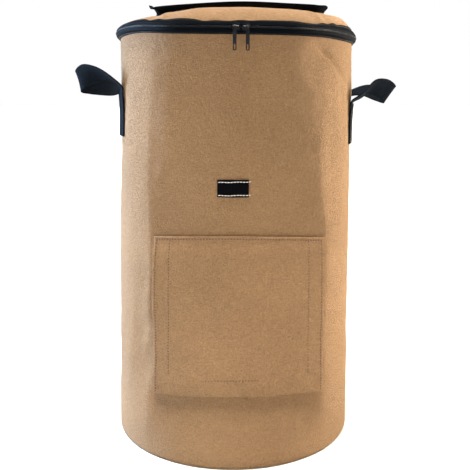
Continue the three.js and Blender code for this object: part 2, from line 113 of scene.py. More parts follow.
# The zip
TAPE = 1.2
LOWER_TAPE_HEIGHT = 9
UPPER_TAPE_HEIGHT = 10
TAPE_OUT = 6
COIL_RADIUS = 1.7
COIL_RING_RADIUS = RIM_RADIUS + TAPE_OUT - COIL_RADIUS / 2
COIL_PITCH = 2.5
COIL_STRETCH = 1.15
COIL_STEPS = 10
WIRE = 0.5
WIRE_SIDES = 6
WALL_TOP = RIM_HEIGHT - 4
# The upper tape's fine wave: (angle, share of the tape's height)
TAPE_WAVE = [
    (-180, 0), (-70, 0), (-48, 0.22), (-34, -0.05), (-25, 0.12), (-8, -0.18), (4, 0.05), (24, 0),
    (35, -0.22), (50, 0.05), (84, 0.18), (180, 0),
]

# The lid: dents as angle, spread, reach and wide as shares of the rim's radius, depth as a share of
# the lid's rise; puckers beside the zip as angle, spread, reach in from the edge in mm, depth in mm
LID_RISE = 27
LID_SKIRT = 5
LID_FULLNESS = 5
LID_RADIUS = RIM_RADIUS - 2.6
LID_EDGE = RIM_HEIGHT + LID_SKIRT + 1
LID_DENTS = [
    (-58, 26, 0.76, 0.2, 0.5),
    (74, 30, 0.92, 0.1, -0.2),
    (8, 16, 0.97, 0.05, 0.08),
    (150, 35, 0.7, 0.25, 0.12),
]
LID_PUCKERS = [
    (-42, 2.2, 26, 2.55), (-36, 1.8, 22, -1.7), (-14, 2.4, 24, 2.55), (-9, 1.6, 18, -1.53),
    (-3, 2.0, 20, 1.7), (6, 2.2, 16, 1.19), (38, 1.6, 26, 2), (42, 1.5, 24, -1.4),
    (46, 1.6, 28, 2), (50, 1.6, 22, -1.2), (54, 1.8, 26, 1.5), (75, 3, 24, 1.7),
    (103, 2.5, 22, 1.87), (131, 3, 26, 2.04), (158, 2.4, 20, 1.7), (-78, 2.6, 24, 2.04),
    (-104, 3, 22, 1.7), (-133, 2.4, 26, 2.04), (-160, 3, 22, 1.7),
]

# Where the extra lines along a sheet's edges lie, in mm from the edge
EDGE_LINES = (0.15, 0.45, 0.9)

# The front flap, its fastening strips and the label patch
FLAP_WIDTH = 262
FLAP_HEIGHT = 223.5
FLAP_BOTTOM = 94
FLAP_ANGLE = math.radians(2.5)
FLAP_BOW = 7.5
FLAP_TILT = 3.2
STRIP_WIDTH = 25
STRIP_THICKNESS = 2
STRIP_INSET = 3
STRIP_END_INSET = 26
STITCH_INSET = 4.6
INNER_SEAM = STRIP_INSET + STRIP_WIDTH - 2.5
TOP_ROW_INSET, TOP_ROW_DOWN = 2.5, 4.0
CROSS_ROW = ((-50, 23), (30, 23.5))
LABEL_WIDTH, LABEL_HEIGHT, LABEL_THICKNESS = 46, 23.5, 1.2
LABEL_CENTRE = 389
LABEL_ANGLE = math.radians(-0.9)
LABEL_SEAMS = (2.6, LABEL_HEIGHT - 3.2)

# The webbing
WEBBING_WIDTH = 32
WEBBING = 1.8
WEBBING_EDGE = 0.9
RIB_PITCH, RIB_DEPTH = 2.13, 0.07
STRAP_ROWS, STRAP_COLUMNS = 300, 44
SIDE_LEG_SPACING = 100
LEFT_HANDLE = {"side": -1, "middle": math.radians(-88), "foot": 452, "top": 519}
RIGHT_HANDLE = {"side": 1, "middle": math.radians(92), "foot": 440, "top": 503}
LID_LEG_SPACING = 222
LID_HANDLE_SHIFT = 5
LID_LEG_FROM, LID_LEG_TO = 58, 8
# Free loops, row by row: across in half spacings of the legs, up (ahead for the lid's) and out in
# widths of webbing, turn and lean in degrees, and for the lid's a slant of the fold
LEFT_LOOP = [
    (-0.92, 0.46, 0.28, 12, 0), (-0.66, 0.71, 0.92, 32, 4), (-0.36, 0.65, 1.6, 72, 10), (0, 0.34, 2, 90, 13),
    (0.38, 0.25, 1.66, 95, 10), (0.7, 0.15, 0.96, 112, 4), (0.92, 0.04, 0.46, 149, 0),
]
RIGHT_LOOP = [
    (-0.92, 0.34, 0.3, 18, 0), (-0.68, 0.71, 0.86, 40, 12), (-0.35, 0.62, 1.5, 70, 26),
    (0, 0.35, 1.92, 90, 35), (0.36, 0.45, 1.54, 118, 30), (0.68, 0.57, 0.9, 152, 14),
    (0.92, 0.42, 0.34, 170, 0),
]
LID_LOOP = [
    (-1.012, 0.17, 0.17, 0, 32, 0.1), (-1.09, 0.61, 0.3, 38, 61, -0.1), (-1.055, 0.73, 0.36, 65, 8, 0.45),
    (-0.69, 0.89, 0.31, 84, 9, 0), (0, 0.89, 0.385, 90, 9, 0), (0.58, 0.93, 0.355, 94, 8, 0),
    (1.0, 0.72, 0.31, 124, 16, 0.35), (1.04, 0.48, 0.27, 146, 46, 0.45), (0.994, 0.18, 0.175, 180, 24, 0),
]

# Threads: radius, and the length, gap and rise of their stitches
FINE_THREAD, FLAP_THREAD, LABEL_THREAD = 0.3, 0.75, 0.5
FLAP_THREAD_FLATNESS = 0.75
ZIP_STITCH = {"length": 2.7, "gap": 0.9, "rise": 0.3}
FLAP_STITCH = {"length": 2.0, "gap": 2.1, "rise": 0.5}
LABEL_STITCH = {"length": 3.3, "gap": 0.75, "rise": 0.36}
STRAP_STITCH = {"length": 2.6, "gap": 0.8, "rise": 0.3}

# The hardware's softened edges, in metres and degrees
BEVEL = 0.00028
BEVEL_STEPS = 3
BEVEL_FROM = 28

# The floor in metres, the camera in the photograph's pixels, metres and degrees
FLOOR_HALF = 30
FLOOR_DROP = 0.0004
PHOTO_WIDTH = 470
FOCAL_LENGTH = 704
CAMERA_SHIFT = -41
SENSOR = 36
EYE = (0.0033, -1.08626, 0.51159)
LOOKING_DOWN = 8

# The sun: direction, strength, softness in degrees, colour
SUN = ((0.05, 0.04, -1), 11.1, 24, (1, 0.97, 0.91))
# Lamps: name, place, aim, size, power, colour
LAMPS = [
    ("softbox_left", (-1.1, -1.35, 1.9), (0, 0, 0.5), (1.0, 1.0), 11.8, (0.85, 0.93, 1)),
    ("softbox_right", (1.0, -1.35, 1.5), (0, 0, 0.3), (1.0, 1.0), 2.3, (1, 0.88, 0.7)),
    ("window_left", (-1.45, 0.62, 0.75), (-0.1, 0, 0.3), (0.3, 0.6), 120, (0.5, 0.7, 1)),
    ("lamp_right", (1.45, 0.58, 0.75), (0.1, 0, 0.3), (0.3, 0.6), 68, (1, 0.9, 0.74)),
    ("lamp_low", (0.6, -0.75, 0.08), (0.02, -0.15, 0.05), (0.3, 0.12), 1.5, (1, 0.8, 0.58)),
]
BACKDROP_ON_THINGS = 0.05


# The soft shape that every piece follows

def smooth(x, low, high):
    t = np.clip((x - low) / (high - low), 0, 1)
    return t * t * (3 - 2 * t)


def bell(distance, spread):
    return np.exp(-((distance / spread) ** 2))


def table(rows, at):
    """A smooth curve through the rows of (place, value) that never overshoots them."""
    x, y = np.array(rows, float).T
    step = np.diff(x)
    slope = np.diff(y) / step
    tangent = np.zeros(len(x))
    same = slope[:-1] * slope[1:] > 0
    mean = 2 * slope[:-1] * slope[1:] / np.where(same, slope[:-1] + slope[1:], 1)
    tangent[1:-1] = np.where(same, mean, 0)
    at = np.clip(np.asarray(at, float), x[0], x[-1])
    i = np.clip(np.searchsorted(x, at, side="right") - 1, 0, len(x) - 2)
    t = (at - x[i]) / step[i]
    rise = (3 - 2 * t) * t * t
    return (
        y[i] * (1 - rise)
        + y[i + 1] * rise
        + step[i] * t * (1 - t) * (tangent[i] * (1 - t) - tangent[i + 1] * t)
    )


def unit(rows):
    return rows / np.linalg.norm(rows, axis=1)[:, None]


def turn_between(a, b):
    return (a - b + 540) % 360 - 180


def waves(seed, count, shortest, longest, depth):
    """A soft random relief on the wall, the same at every run, as a function of angle and height."""
    rng = np.random.default_rng(seed)
    length = np.exp(rng.uniform(math.log(shortest), math.log(longest), count))
    heading = rng.uniform(0, math.pi, count)
    round_it = np.round(TURN * BASE_RADIUS * np.cos(heading) / length)
    upwards = TURN * np.sin(heading) / length
    start = rng.uniform(0, TURN, count)
    size = depth * math.sqrt(2 / count)

    def relief(angle, height):
        total = np.zeros(np.broadcast(angle, height).shape)
        for m, k, phase in zip(round_it, upwards, start):
            total += np.cos(m * angle + k * height + phase)
        return size * total

    return relief


broad_waves = waves(11, 26, 90, 260, 0.55)
short_waves = waves(12, 40, 22, 70, 0.16)
fine_waves = waves(13, 60, 8, 17, 0.06)


def taper_radius(height):
    return BASE_RADIUS + (RIM_RADIUS - BASE_RADIUS) * np.clip(height / RIM_HEIGHT, 0, 1)


def crease(angle, height, ends, width, depth):
    (a0, h0), (a1, h1) = ends
    u0, u1 = math.radians(a0) * BASE_RADIUS, math.radians(a1) * BASE_RADIUS
    u = angle * BASE_RADIUS
    along = ((u - u0) * (u1 - u0) + (height - h0) * (h1 - h0)) / ((u1 - u0) ** 2 + (h1 - h0) ** 2)
    along = np.clip(along, 0, 1)
    off = np.hypot(u - u0 - along * (u1 - u0), height - h0 - along * (h1 - h0))
    return depth * bell(off, width) * (0.3 + 0.7 * np.sin(math.pi * (0.15 + 0.7 * along)))


def wall_inset(angle, height):
    """How far the felt lies inside the plain round taper."""
    share = height / RIM_HEIGHT
    flat = table(FRONT_FLATNESS, share)
    left = table(LEFT_WANDER, height) * smooth(-angle, WANDER_FROM, WANDER_TO)
    right = table(RIGHT_WANDER, height) * smooth(angle, WANDER_FROM, WANDER_TO)
    near = np.clip(angle - np.radians(left + right), -PANEL_REACH - 0.1, PANEL_REACH + 0.1)
    panel = 1 - math.cos(CREASE_ANGLE) / np.cos(near)
    panel = 0.5 * (panel + np.sqrt(panel**2 + CREASE_SOFTNESS**2))
    panel = np.where(np.abs(angle) > PANEL_REACH, 0, panel)
    ends = smooth(share, 0, 0.12) * smooth(1 - share, 0, 0.06)
    degrees = np.degrees(angle)
    dents = sum(
        depth * BASE_RADIUS * bell(turn_between(degrees, at), spread) * bell(share - middle, tall)
        for at, spread, middle, tall, depth in WALL_DENTS
    )
    dents = dents + sum(
        depth * bell(turn_between(degrees, at), spread) * bell(height - middle, tall)
        for at, spread, middle, tall, depth in SMALL_DENTS
    )
    dents = dents + sum(
        crease(angle, height, (a, b), width, depth) for a, b, width, depth in WALL_CREASES
    )
    relief = broad_waves(angle, height) + short_waves(angle, height) + fine_waves(angle, height)
    return taper_radius(height) * panel * flat + (dents + relief) * ends


def rim_lift(angle):
    return RIM_RADIUS * table(RIM_WAVE, np.degrees(angle))


def lid_sag(angle, radius):
    degrees = np.degrees(angle)
    reach = radius / RIM_RADIUS
    sag = sum(
        LID_RISE * depth * bell(turn_between(degrees, at), spread) * bell(reach - middle, wide)
        for at, spread, middle, wide, depth in LID_DENTS
    )
    inwards = LID_RADIUS - radius
    puckers = sum(
        depth * bell(turn_between(degrees, at), spread) * np.exp(-((inwards / wide) ** 2))
        for at, spread, wide, depth in LID_PUCKERS
    )
    ease = 0.35 * short_waves(angle * 0.6, radius * 2.1) + 0.9 * broad_waves(angle, radius)
    return sag + puckers + ease * smooth(inwards, -20, 30) * smooth(radius, 0, 60)


def settled(angle, radius, height):
    """Takes points of the plain round bag to where they lie on the soft one."""
    angle, radius, height = np.broadcast_arrays(angle, radius, height)
    reach = np.minimum(1, radius / RIM_RADIUS)
    waving = smooth(height / RIM_HEIGHT, RIM_WAVE_STARTS, RIM_WAVE_FULL) * reach**2
    inset = np.where(height < RIM_HEIGHT, wall_inset(angle, height), 0) * reach
    on_lid = smooth(height - RIM_HEIGHT, LID_SKIRT, LID_SKIRT + LID_RISE / 3)
    new_radius = radius - inset
    return np.stack(
        [
            new_radius * np.sin(angle) + SIDE_LEAN * height / RIM_HEIGHT,
            -new_radius * np.cos(angle),
            height + rim_lift(angle) * waving - lid_sag(angle, radius) * on_lid,
        ],
        -1,
    )


def on_wall(angle, height, standoff):
    return settled(angle, taper_radius(height) + standoff, height)


def dome_rise(share):
    return LID_RISE * np.sqrt(np.maximum(0, 1 - share**LID_FULLNESS))


def on_lid(x, y, standoff):
    radius = np.hypot(x, y)
    return settled(np.arctan2(x, -y), radius, LID_EDGE + dome_rise(radius / LID_RADIUS) + standoff)


def way_gone(points):
    """Distance from the start of a line of points, at each of them."""
    return np.concatenate([[0], np.cumsum(np.linalg.norm(np.diff(points, axis=0), axis=1))])


def resampled(points, count):
    """count points at even steps along a line of points."""
    points = np.array(points, float)
    gone = way_gone(points)
    at = np.linspace(0, gone[-1], count)
    return np.stack([np.interp(at, gone, c) for c in points.T], -1)


# Mesh building

def mesh_object(name, points, faces, coordinates=None):
    """A piece of points in millimetres. coordinates: a flat (across, along) in mm for each point."""
    mesh = bpy.data.meshes.new(name)
    mesh.from_pydata((np.asarray(points) * MM).tolist(), [], faces)
    if coordinates is not None:
        layer = mesh.uv_layers.new(name="cloth")
        corner = np.zeros(len(mesh.loops), np.int32)
        mesh.loops.foreach_get("vertex_index", corner)
        flat = np.asarray(coordinates, np.float32) * MM
        layer.data.foreach_set("uv", flat[corner].ravel())
    bm = bmesh.new()
    bm.from_mesh(mesh)
    bmesh.ops.remove_doubles(bm, verts=bm.verts, dist=2e-6)
    bmesh.ops.dissolve_degenerate(bm, dist=1e-7, edges=bm.edges)
    bmesh.ops.recalc_face_normals(bm, faces=bm.faces)
    bm.to_mesh(mesh)
    bm.free()
    mesh.shade_smooth()
    obj = bpy.data.objects.new(name, mesh)
    bpy.context.scene.collection.objects.link(obj)
    return obj


def grid_faces(rows, columns, wrap_rows=False, wrap_columns=False):
    r = np.arange(rows if wrap_rows else rows - 1)
    c = np.arange(columns if wrap_columns else columns - 1)
    r, c = np.meshgrid(r, c, indexing="ij")
    r2, c2 = (r + 1) % rows, (c + 1) % columns
    quads = np.stack([r * columns + c, r * columns + c2, r2 * columns + c2, r2 * columns + c], -1)
    return quads.reshape(-1, 4).tolist()


def turned(name, outline, steps, lift=None, closed=True):
    """A ring turned from an outline of [radius, height] rows, with a flat map round it and along it."""
    outline = np.array(outline, float)
    angle = (np.arange(steps) / steps * TURN - math.pi)[None, :]
    radius, height = outline[:, :1], outline[:, 1:]
    raised = height + (lift(angle, height) if lift else 0)
    points = settled(angle, radius, raised)
    gone = way_gone(outline)
    flat = np.stack(np.broadcast_arrays(angle * RIM_RADIUS, gone[:, None]), -1)
    faces = grid_faces(len(outline), steps, wrap_rows=closed, wrap_columns=True)
    return mesh_object(name, points.reshape(-1, 3), faces, flat.reshape(-1, 2))


def edge_round(part):
    """Thickness over a rounded edge, as a share, at a share of the way in from the edge."""
    return np.sqrt(np.maximum(0, 1 - (1 - part) ** 2))


def slab(name, size, counts, place, edge, relief):
    """A closed sheet with rounded edges. place(x, y, z) puts its flat points where they lie; x is
    measured from its middle, y from its foot and z from its back. relief(x, y): outwards, in mm."""
    width, height, thickness = size
    columns, rows = counts
    x = resampled([[-width / 2], [width / 2]], columns)[:, 0]
    x = np.sort(np.concatenate([x, *[[-width / 2 + d, width / 2 - d] for d in EDGE_LINES]]))
    y = np.linspace(0, height, rows)
    y = np.sort(np.concatenate([y, *[[d, height - d] for d in EDGE_LINES]]))
    round_x = np.concatenate([x, x[::-1]])
    side = np.concatenate([np.ones(len(x)), -np.ones(len(x))])[None, :]
    gx, gy = np.meshgrid(round_x, y)
    rim = np.minimum.reduce([gx + width / 2, width / 2 - gx, gy, height - gy])
    part = np.clip(rim / edge, 0, 1)
    half = thickness / 2 * edge_round(part)
    outwards = relief(gx, gy) * (side > 0) * part
    points = place(gx, gy, thickness / 2 + half * side + outwards)
    faces = grid_faces(len(y), len(round_x), wrap_columns=True)
    flat = np.stack([gx, gy], -1)
    return mesh_object(name, points.reshape(-1, 3), faces, flat.reshape(-1, 2))


def curve_point(points, along, even=False):
    """Point of a curve through points, at a share of its spans: centripetal, or with even spans."""
    last = len(points) - 1
    place = np.clip(along, 0, 1) * last
    i = min(int(place), last - 1)
    t = place - i
    p1, p2 = points[i], points[i + 1]
    p0 = points[i - 1] if i > 0 else 2 * points[0] - points[1]
    p3 = points[i + 2] if i + 2 <= last else 2 * points[last] - points[last - 1]
    spans = ((p0, p1), (p1, p2), (p2, p3))
    d0, d1, d2 = (1 if even else max(float(np.sum((b - a) ** 2)), 1e-12) ** 0.25 for a, b in spans)
    m1 = ((p1 - p0) / d0 - (p2 - p0) / (d0 + d1) + (p2 - p1) / d1) * d1
    m2 = ((p2 - p1) / d1 - (p3 - p1) / (d1 + d2) + (p3 - p2) / d2) * d1
    a = 2 * p1 - 2 * p2 + m1 + m2
    b = -3 * p1 + 3 * p2 - 2 * m1 - m2
    return p1 + t * (m1 + t * (b + t * a))


def strap_frame(stations, along):
    """Middle, line across and outer face's direction of a strap at a share of its length. A station
    is (place, width's direction, slant): a slant turns the line across towards the way ahead."""
    places = [np.array(row[0], float) for row in stations]
    across = curve_point([np.array(row[1], float) for row in stations], along, even=True)
    slant = curve_point([np.array([row[2]], float) for row in stations], along, even=True)[0]
    ahead = curve_point(places, along + 1e-4) - curve_point(places, along - 1e-4)
    ahead /= np.linalg.norm(ahead)
    across = across - across.dot(ahead) * ahead
    across /= np.linalg.norm(across)
    return curve_point(places, along), across + slant * ahead, np.cross(across, ahead)


def strap(name, stations):
    """A webbing strap with fine ribs along it and a thicker selvedge."""
    frames = [strap_frame(stations, s) for s in np.linspace(0, 1, STRAP_ROWS)]
    middle, across, face = (np.array(part) for part in zip(*frames))
    gone = way_gone(middle)
    x = np.linspace(-WEBBING_WIDTH / 2, WEBBING_WIDTH / 2, STRAP_COLUMNS)
    round_x = np.concatenate([x, x[::-1]])
    side = np.concatenate([np.ones(STRAP_COLUMNS), -np.ones(STRAP_COLUMNS)])
    rim = WEBBING_WIDTH / 2 - np.abs(round_x)
    selvedge = 0.16 * bell(rim - 1.3, 0.9)
    ribs = RIB_DEPTH * np.cos(TURN * round_x / RIB_PITCH)
    at_sides = edge_round(np.clip(rim / WEBBING_EDGE, 0, 1))
    at_ends = edge_round(np.clip(np.minimum(gone, gone[-1] - gone) / WEBBING_EDGE, 0, 1))
    half = (WEBBING / 2 + selvedge + ribs * smooth(rim, 1.5, 3)) * at_sides
    half = half[None, :] * at_ends[:, None]
    points = (
        middle[:, None]
        + across[:, None] * round_x[None, :, None]
        + face[:, None] * (half * side[None, :])[..., None]
    )
    flat = np.stack(np.broadcast_arrays(round_x[None, :], gone[:, None]), -1)
    faces = grid_faces(STRAP_ROWS, len(round_x), wrap_columns=True)
    return mesh_object(name, points.reshape(-1, 3), faces, flat.reshape(-1, 2))


def tubes(name, lines, radius, sides, flat=1.0):
    """Thin threads along lines of points, round or flattened. Each line: (points, outward direction)."""
    points, faces = [], []
    for line, outwards in lines:
        line = np.array(line, float)
        ahead = np.gradient(line, axis=0)
        ahead /= np.linalg.norm(ahead, axis=1)[:, None] + 1e-12
        up = np.broadcast_to(outwards, line.shape)
        sideways = np.cross(ahead, up)
        sideways /= np.linalg.norm(sideways, axis=1)[:, None] + 1e-12
        up = np.cross(sideways, ahead)
        turn = np.arange(sides) / sides * TURN
        size = radius * np.ones(len(line))
        size[0] = size[-1] = radius * 0.35
        ring = (
            line[:, None]
            + sideways[:, None] * (np.cos(turn)[None, :] * size[:, None])[..., None]
            + up[:, None] * (np.sin(turn)[None, :] * flat * size[:, None])[..., None]
        )
        base = sum(len(p) for p in points)
        points.append(ring.reshape(-1, 3))
        quads = np.array(grid_faces(len(line), sides, wrap_columns=True)) + base
        faces += quads.tolist()
        faces.append((base + np.arange(sides)[::-1]).tolist())
        faces.append((base + (len(line) - 1) * sides + np.arange(sides)).tolist())
    return mesh_object(name, np.concatenate(points), faces)


def stitch_lines(path, outwards, seed, length, gap, rise):
    """Lockstitches along a path that dive into the cloth at both ends, as lines for tubes()."""
    rng = np.random.default_rng(seed)
    path = np.array(path, float)
    outwards = np.broadcast_to(np.asarray(outwards, float), path.shape)
    gone = way_gone(path)
    count = max(1, int(round(gone[-1] / (length + gap))))
    step = gone[-1] / count
    lines = []
    for n in range(count):
        start = n * step + gap / 2 + rng.uniform(-0.12, 0.12)
        at = start + np.linspace(0, step - gap, 6)
        spot = np.stack([np.interp(at, gone, c) for c in path.T], -1)
        out = unit(np.stack([np.interp(at, gone, c) for c in outwards.T], -1))
        arch = np.array([-0.5, 0.55, 1, 1, 0.55, -0.5]) * rise
        side = np.cross(out[2], spot[-1] - spot[0])
        side /= np.linalg.norm(side) + 1e-12
        slant = np.linspace(-0.5, 0.5, 6) * rng.uniform(0.1, 0.35)
        lines.append((spot + out * arch[:, None] + slant[:, None] * side, out[2]))
    return lines


# Materials

def srgb(r, g, b):
    return tuple(((c / 255 + 0.055) / 1.055) ** 2.4 for c in (r, g, b)) + (1.0,)


class Shader:
    """A small writer of node materials."""

    def __init__(self, name, **fixed):
        self.material = bpy.data.materials.new(name)
        self.material.use_nodes = True
        self.tree = self.material.node_tree
        self.surface = self.tree.nodes["Principled BSDF"]
        for key, value in fixed.items():
            self.surface.inputs[key.replace("_", " ")].default_value = value

    def node(self, kind, values=None, **settings):
        made = self.tree.nodes.new(kind)
        for key, value in settings.items():
            setattr(made, key, value)
        for key, value in (values or {}).items():
            if isinstance(value, bpy.types.NodeSocket):
                self.tree.links.new(value, made.inputs[key])
            else:
                made.inputs[key].default_value = value
        return made

    def noise(self, where, scale, detail, rough=0.55, twist=0.0):
        values = {"Vector": where, "Scale": scale, "Detail": detail, "Roughness": rough, "Distortion": twist}
        return self.node("ShaderNodeTexNoise", values).outputs["Fac"]

    def ramp(self, value, low, high):
        """Value stretched so that low gives 0 and high gives 1."""
        values = {"Value": value, "From Min": low, "From Max": high}
        return self.node("ShaderNodeMapRange", values, clamp=True).outputs["Result"]

    def mix(self, factor, a, b):
        """Colour a at a factor of 0, colour b at 1."""
        return self.node("ShaderNodeMix", {0: factor, 6: a, 7: b}, data_type="RGBA").outputs[2]

    def share(self, value, part):
        return self.math("MULTIPLY", value, part)

    def math(self, kind, a, b=0.5):
        return self.node("ShaderNodeMath", {0: a, 1: b}, operation=kind).outputs[0]

    def space(self):
        return self.node("ShaderNodeTexCoord").outputs["Object"]

    def cloth(self):
        return self.node("ShaderNodeUVMap", uv_map="cloth").outputs["UV"]

    def stretched(self, where, scale, turn):
        values = {"Vector": where, "Scale": scale, "Rotation": turn}
        return self.node("ShaderNodeMapping", values).outputs["Vector"]

    def set(self, name, value):
        self.tree.links.new(value, self.surface.inputs[name])

    def bump(self, height, distance, strength, under=None):
        values = {"Height": height, "Distance": distance, "Strength": strength}
        if under is not None:
            values["Normal"] = under
        made = self.node("ShaderNodeBump", values).outputs["Normal"]
        self.set("Normal", made)
        return made


def felt_material(name, light, dark, pale):
    """Needled felt: matted fibres lying every way, small clumps, and a slow drift of tone."""
    s = Shader(name, Roughness=0.93, Sheen_Weight=0.12, Sheen_Roughness=0.45, Specular_IOR_Level=0.1)
    where = s.space()
    drift = s.ramp(s.noise(where, 7, 2), 0.35, 0.65)
    clumps = s.ramp(s.noise(where, 340, 5, 0.78, 0), 0.35, 0.65)
    lying = s.noise(s.stretched(where, (1, 1, 0.22), (0.3, 0.5, 0)), 900, 3, 0.6, 0.6)
    crossing = s.noise(s.stretched(where, (0.3, 0.3, 1.2), (-0.4, 0.2, 0.6)), 800, 3, 0.6, 0.8)
    fibres = s.ramp(s.math("MAXIMUM", lying, crossing), 0.42, 0.7)
    tone = s.mix(s.share(drift, 0.3), light, dark)
    tone = s.mix(s.share(clumps, 0.55), tone, dark)
    tone = s.mix(s.share(fibres, 0.6), tone, pale)
    s.set("Base Color", tone)
    coarse = s.bump(clumps, 0.0033, 0.85)
    s.bump(fibres, 0.0007, 0.6, under=coarse)
    return s.material


def webbing_material(name, colour, sheen):
    """Woven tape: slanting ribs in a herringbone over a fine cross weave."""
    s = Shader(
        name,
        Roughness=0.6,
        Sheen_Weight=sheen,
        Sheen_Roughness=0.3,
        Sheen_Tint=(0.62, 0.75, 0.9, 1),
        Specular_IOR_Level=0.03,
        IOR=1.12,
    )
    flat = s.cloth()
    split = s.node("ShaderNodeSeparateXYZ", {"Vector": flat})
    across, along = split.outputs["X"], split.outputs["Y"]
    zigzag = s.math("PINGPONG", across, 0.0021)
    slanted = s.math("ADD", zigzag, along)
    ribs = s.math("SINE", s.share(slanted, 3600.0))
    rows = s.math("SINE", s.share(across, 2950.0))
    weave = s.math("ADD", s.share(ribs, 0.6), s.share(rows, 0.4))
    fuzz = s.noise(s.space(), 420, 4)
    lighter = tuple(2.4 * c + 0.001 for c in colour[:3]) + (1,)
    tone = s.mix(s.share(s.ramp(weave, -0.2, 1.0), 0.5), colour, lighter)
    tone = s.mix(s.share(s.ramp(fuzz, 0.5, 0.8), 0.4), tone, lighter)
    s.set("Base Color", tone)
    s.set("Roughness", s.math("ADD", s.share(fuzz, 0.25), 0.46))
    low = s.bump(weave, 0.00022, 0.6)
    s.bump(fuzz, 0.0002, 0.25, under=low)
    return s.material


def tape_material(name):
    """Zip tape: fine warp lines round the bag, a knitted texture and a dull nylon shine."""
    s = Shader(
        name,
        Roughness=0.5,
        Sheen_Weight=0.002,
        Sheen_Roughness=0.3,
        Sheen_Tint=(0.6, 0.72, 0.9, 1),
        Specular_IOR_Level=0.04,
        IOR=1.2,
    )
    split = s.node("ShaderNodeSeparateXYZ", {"Vector": s.cloth()})
    round_it, up = split.outputs["X"], split.outputs["Y"]
    warp = s.math("SINE", s.share(up, 7200.0))
    zigzag = s.math("ADD", round_it, s.math("PINGPONG", up, 0.0009))
    knit = s.math("SINE", s.share(zigzag, 6300.0))
    weave = s.math("ADD", warp, knit)
    dust = s.noise(s.space(), 260, 5, 0.7)
    deep, crown, dusty = (0.0014, 0.002, 0.0032, 1), (0.0045, 0.006, 0.009, 1), (0.012, 0.014, 0.018, 1)
    tone = s.mix(s.share(s.ramp(weave, -1, 2), 0.5), deep, crown)
    tone = s.mix(s.share(s.ramp(dust, 0.58, 0.85), 0.4), tone, dusty)
    s.set("Base Color", tone)
    s.set("Roughness", s.math("ADD", s.share(dust, 0.3), 0.33))
    s.bump(weave, 0.00016, 0.6)
    return s.material


def thread_material(name, colour, dark):
    s = Shader(name, Roughness=0.6, Sheen_Weight=0.2, Specular_IOR_Level=0.4)
    twist = s.noise(s.stretched(s.space(), (1, 1, 1), (0.6, 0.6, 0.6)), 1500, 2)
    s.set("Base Color", s.mix(s.ramp(twist, 0.35, 0.65), dark, colour))
    s.bump(twist, 0.0001, 0.6)
    return s.material


def strip_material(name):
    """Loop fastening tape: a dense nap of tiny loops."""
    s = Shader(name, Roughness=0.85, Sheen_Weight=0.5, Specular_IOR_Level=0.3)
    loops = s.node("ShaderNodeTexVoronoi", {"Vector": s.space(), "Scale": 900.0}).outputs["Distance"]
    nap = s.noise(s.space(), 300, 4)
    s.set("Base Color", s.mix(s.ramp(nap, 0.3, 0.7), (0.008, 0.008, 0.01, 1), (0.03, 0.03, 0.034, 1)))
    s.bump(s.math("ADD", loops, nap), 0.0008, 0.8)
    return s.material


def nylon_material(name):
    """The coil's drawn nylon: smooth and dark, a little scuffed on its crowns."""
    s = Shader(name, Roughness=0.35, Specular_IOR_Level=0.22)
    scuff = s.noise(s.space(), 600, 4, 0.65)
    s.set("Base Color", s.mix(s.ramp(scuff, 0.5, 0.8), (0.004, 0.005, 0.008, 1), (0.022, 0.025, 0.032, 1)))
    s.set("Roughness", s.math("ADD", s.share(scuff, 0.4), 0.15))
    return s.material


def metal_material(name):
    """Dark plated zip hardware with fine rubbed marks."""
    s = Shader(name, Metallic=0.1, Roughness=0.3, Specular_IOR_Level=0.16)
    marks = s.noise(s.stretched(s.space(), (1, 1, 0.15), (0.2, 0.1, 0)), 1800, 4, 0.7)
    cloud = s.noise(s.space(), 180, 3)
    tone = s.mix(s.ramp(cloud, 0.35, 0.7), (0.006, 0.006, 0.008, 1), (0.022, 0.023, 0.027, 1))
    tone = s.mix(s.share(s.ramp(marks, 0.6, 0.8), 0.3), tone, (0.16, 0.16, 0.165, 1))
    s.set("Base Color", tone)
    s.set("Roughness", s.math("ADD", s.share(marks, 0.25), 0.1))
    s.bump(marks, 0.00006, 0.4)
    return s.material


def floor_material(name):
    s = Shader(name, Roughness=0.85, Specular_IOR_Level=0.1)
    tone = s.noise(s.space(), 3, 3)
    s.set("Base Color", s.mix(s.ramp(tone, 0.3, 0.7), (0.48, 0.475, 0.46, 1), (0.5, 0.495, 0.48, 1)))
    return s.material


felt = felt_material("needled_felt", srgb(175, 134, 93), srgb(116, 80, 48), srgb(196, 160, 118))
# The flap's felt is the wall's felt made a little lighter: painted light, standing in for the flap catching
# more light than the wall around it.
flap_felt_painted_light = felt_material("flap_felt_painted_light", srgb(180, 138, 96), srgb(122, 85, 52), srgb(202, 164, 121))
webbing = webbing_material("black_webbing", (0.0045, 0.006, 0.0085, 1), 0.006)
label_weave = webbing_material("label_weave", (0.0024, 0.0024, 0.003, 1), 0.002)
zip_tape = tape_material("zip_tape")
nylon = nylon_material("coil_nylon")
loop_tape = strip_material("loop_tape")
metal = metal_material("slider_metal")
# The flap's thread is darker than the felt. This is partly the thread's own colour and partly painted shade
# for the shadowed stitch holes along the rows.
felt_thread_and_painted_shade = thread_material("felt_thread_and_painted_shade", srgb(124, 88, 57), srgb(84, 57, 36))
black_thread = thread_material("black_thread", (0.012, 0.013, 0.016, 1), (0.004, 0.004, 0.005, 1))
pale_thread = thread_material("pale_thread", srgb(250, 242, 236), srgb(196, 184, 178))


def dress(piece, look, body="bag", replaced=()):
    """Gives a piece its material and its place on the object."""
    piece.data.materials.clear()
    piece.data.materials.append(look)
    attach(piece, body)
    if replaced:
        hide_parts(*replaced)
    return piece


# The felt wall, base and lid

